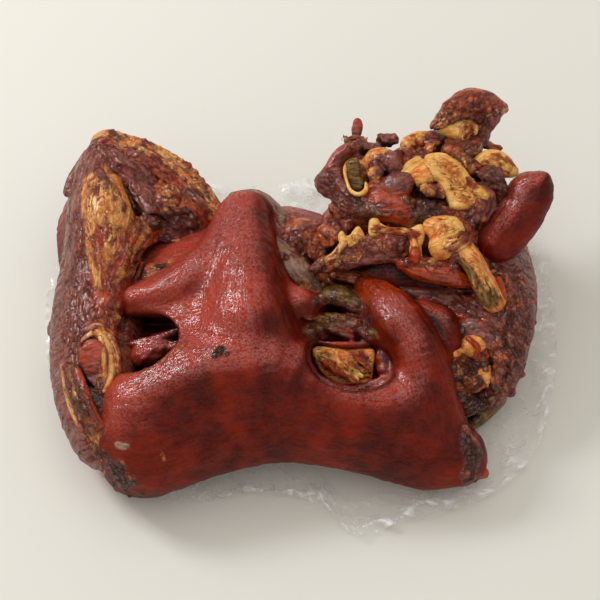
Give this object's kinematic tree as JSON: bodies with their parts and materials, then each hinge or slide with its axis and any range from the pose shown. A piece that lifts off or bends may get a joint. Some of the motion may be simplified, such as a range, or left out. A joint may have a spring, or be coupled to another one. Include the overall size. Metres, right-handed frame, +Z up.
{
  "type": "braised pig trotter",
  "caption": "Braised pig trotter lying on its side: glossy rind laid open over the knuckle, a sawn shank at one end and a folded foot with bare bones at the other, on a sheet of clear film.",
  "frame": {"origin": "centre of the bounding box's base, on the table under the film", "axes": "+X along the leg from the sawn shank to the toes, +Y away from the side that faces the viewer, +Z up"},
  "size_m": [0.253, 0.21, 0.0943],
  "materials": {
    "rind": "glossy braised rind with sticky glaze",
    "bone": "stained wet bone",
    "gristle": "wet olive gristle",
    "film": "clear crumpled food film"
  },
  "bodies": {
    "root": {"flesh": "rind", "cannon_bone": "bone", "pastern_plate": "bone", "joint_cup": "gristle", "toe_bone": "bone", "rear_knob": "bone", "upper_knob": "bone", "split_bone": "bone", "jagged_bone": "bone", "strip_bone": "bone", "window_bone": "bone", "heel_bone": "bone", "film": "film"}
  },
  "joints": []
}
